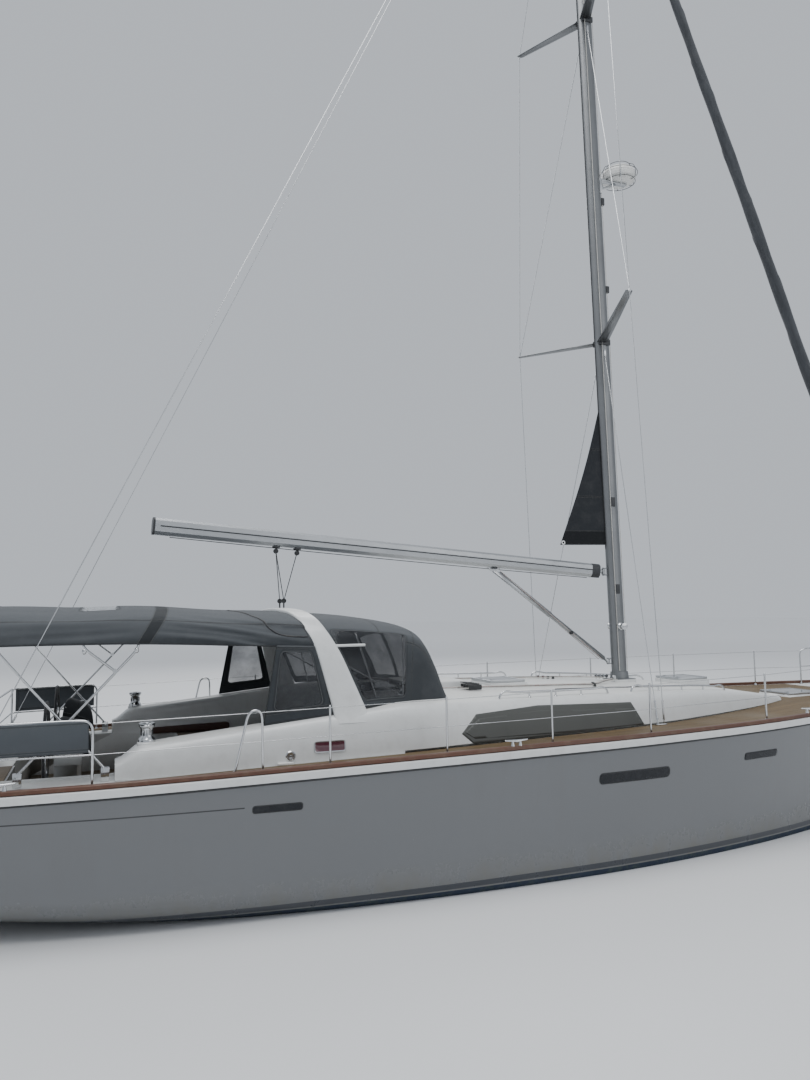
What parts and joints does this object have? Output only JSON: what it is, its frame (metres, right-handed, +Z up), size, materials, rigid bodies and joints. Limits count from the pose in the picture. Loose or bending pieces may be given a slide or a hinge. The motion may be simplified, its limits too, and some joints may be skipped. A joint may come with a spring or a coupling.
{
  "type": "sailing yacht",
  "caption": "Cruising sailing yacht afloat: grey hull, teak side decks, low coachroof, twin wheels, arch with dodger and bimini, raked mast with rolled sails.",
  "frame": {"origin": "on the water's surface amidships, on the hull's centre plane", "axes": "+X to the bow, +Y to port, +Z up; z = 0 is the waterline"},
  "size_m": [15.48, 4.7936, 19.96],
  "materials": {
    "hull_paint": "grey gelcoat, softly glossy",
    "gelcoat": "white gelcoat",
    "teak": "oiled planks with dark caulking",
    "dark_glass": "smoked acrylic",
    "antifouling": "matt bottom paint",
    "black_plastic": "dark grey",
    "bronze": "dull bronze",
    "canvas": "charcoal woven acrylic cloth",
    "stainless": "polished stainless steel",
    "mast_alloy": "silver anodised"
  },
  "bodies": {
    "yacht": {"hull": "hull_paint", "deck": "gelcoat", "coachroof": "gelcoat", "cockpit_side_port": "gelcoat", "cockpit_side_starboard": "gelcoat", "helm_pedestal_port": "gelcoat", "helm_pedestal_starboard": "gelcoat", "arch": "gelcoat", "radome": "gelcoat", "teak_deck": "teak", "cockpit_sole": "teak", "hull_window_port": "dark_glass", "hull_window_starboard": "dark_glass", "side_window_port": "dark_glass", "side_window_starboard": "dark_glass", "keel": "antifouling", "drive_leg": "black_plastic", "lower_spreader_port": "black_plastic", "lower_spreader_starboard": "black_plastic", "upper_spreader_port": "black_plastic", "upper_spreader_starboard": "black_plastic", "dodger": "canvas", "bimini": "canvas", "side_curtain_port": "canvas", "side_curtain_starboard": "canvas", "mainsail_clew": "canvas", "bimini_frame": "stainless", "lifelines_port": "stainless", "lifelines_starboard": "stainless", "pushpit_port": "stainless", "pushpit_starboard": "stainless", "pulpit_port": "stainless", "pulpit_starboard": "stainless", "bow_fitting": "stainless", "anchor": "stainless", "windlass": "stainless", "shrouds_port": "stainless", "shrouds_starboard": "stainless", "backstay_port": "stainless", "backstay_starboard": "stainless", "mast": "mast_alloy"},
    "rudder": {"rudder": "antifouling"},
    "port wheel": {"wheel_port": "stainless"},
    "starboard wheel": {"wheel_starboard": "stainless"},
    "propeller": {"propeller": "bronze"},
    "boom": {"boom": "mast_alloy", "vang": "mast_alloy"},
    "headsail": {"rolled_headsail": "canvas", "furler_drum": "black_plastic"},
    "companionway hatch": {"companionway_hatch": "dark_glass"},
    "companionway door": {"companionway_door": "dark_glass"},
    "platform": {"bathing_platform": "gelcoat"},
    "foredeck hatch": {"foredeck_hatch": "dark_glass"},
    "saloon hatch": {"saloon_hatch": "dark_glass"},
    "cabin hatch": {"cabin_hatch": "dark_glass"},
    "anchor locker lid": {"anchor_locker_lid": "gelcoat"},
    "port primary winch": {"primary_winch_port": "stainless"},
    "starboard primary winch": {"primary_winch_starboard": "stainless"},
    "port cabin winch": {"cabin_winch_port": "stainless"},
    "starboard cabin winch": {"cabin_winch_starboard": "stainless"}
  },
  "joints": [
    {"name": "rudder_turn", "type": "hinge", "parent": "yacht", "child": "rudder", "pos_m": [-6.5, 0, 0], "axis": [0, 0, 1], "range_deg": [-35, 35]},
    {"name": "port_wheel_turn", "type": "hinge", "parent": "yacht", "child": "port wheel", "pos_m": [-6.73, 1.01, 1.7], "axis": [1, 0, 0], "range_deg": [-280, 280]},
    {"name": "starboard_wheel_turn", "type": "hinge", "parent": "yacht", "child": "starboard wheel", "pos_m": [-6.73, -1.01, 1.7], "axis": [1, 0, 0], "range_deg": [-280, 280]},
    {"name": "propeller_spin", "type": "hinge", "parent": "yacht", "child": "propeller", "pos_m": [-2.145, 0, -0.86], "axis": [1, 0, 0], "continuous": true},
    {"name": "boom_swing", "type": "hinge", "parent": "yacht", "child": "boom", "pos_m": [0.78169, 0, 3.56], "axis": [-0.0216, 0, 0.9998], "range_deg": [-70.5, 59.5]},
    {"name": "headsail_furl", "type": "hinge", "parent": "yacht", "child": "headsail", "pos_m": [6.98, 0, 1.79], "axis": [-0.3683, 0, 0.9297], "continuous": true},
    {"name": "companionway_slide", "type": "slide", "parent": "yacht", "child": "companionway hatch", "axis": [1, 0, 0], "range_m": [0, 0.64]},
    {"name": "companionway_door_swing", "type": "hinge", "parent": "yacht", "child": "companionway door", "pos_m": [-3.1, 0.362, 1.5], "axis": [0, 0, -1], "range_deg": [0, 100]},
    {"name": "platform_fold", "type": "hinge", "parent": "yacht", "child": "platform", "pos_m": [-7.511, 0, 0.248], "axis": [0, -1, 0], "range_deg": [0, 90]},
    {"name": "foredeck_hatch_lift", "type": "hinge", "parent": "yacht", "child": "foredeck hatch", "pos_m": [4.522, 0, 1.644], "axis": [0, 1, 0], "range_deg": [0, 80]},
    {"name": "saloon_hatch_lift", "type": "hinge", "parent": "yacht", "child": "saloon hatch", "pos_m": [-0.728, 0, 2.054], "axis": [0, 1, 0], "range_deg": [0, 80]},
    {"name": "cabin_hatch_lift", "type": "hinge", "parent": "yacht", "child": "cabin hatch", "pos_m": [2.372, 0, 1.959], "axis": [0, 1, 0], "range_deg": [0, 80]},
    {"name": "anchor_locker_lift", "type": "hinge", "parent": "yacht", "child": "anchor locker lid", "pos_m": [5.972, 0, 1.659], "axis": [0, 1, 0], "range_deg": [0, 80]},
    {"name": "port_primary_winch_turn", "type": "hinge", "parent": "yacht", "child": "port primary winch", "pos_m": [-5.76, 1.7, 1.85], "axis": [0, 0, 1], "continuous": true},
    {"name": "starboard_primary_winch_turn", "type": "hinge", "parent": "yacht", "child": "starboard primary winch", "pos_m": [-5.76, -1.7, 1.85], "axis": [0, 0, 1], "continuous": true},
    {"name": "port_cabin_winch_turn", "type": "hinge", "parent": "yacht", "child": "port cabin winch", "pos_m": [-2.78, 1.05, 2.1], "axis": [0, 0, 1], "continuous": true},
    {"name": "starboard_cabin_winch_turn", "type": "hinge", "parent": "yacht", "child": "starboard cabin winch", "pos_m": [-2.78, -1.05, 2.1], "axis": [0, 0, 1], "continuous": true}
  ],
  "couplings": [
    {"joint": "port_wheel_turn", "follows": "rudder_turn", "ratio": 8},
    {"joint": "starboard_wheel_turn", "follows": "rudder_turn", "ratio": 8}
  ]
}
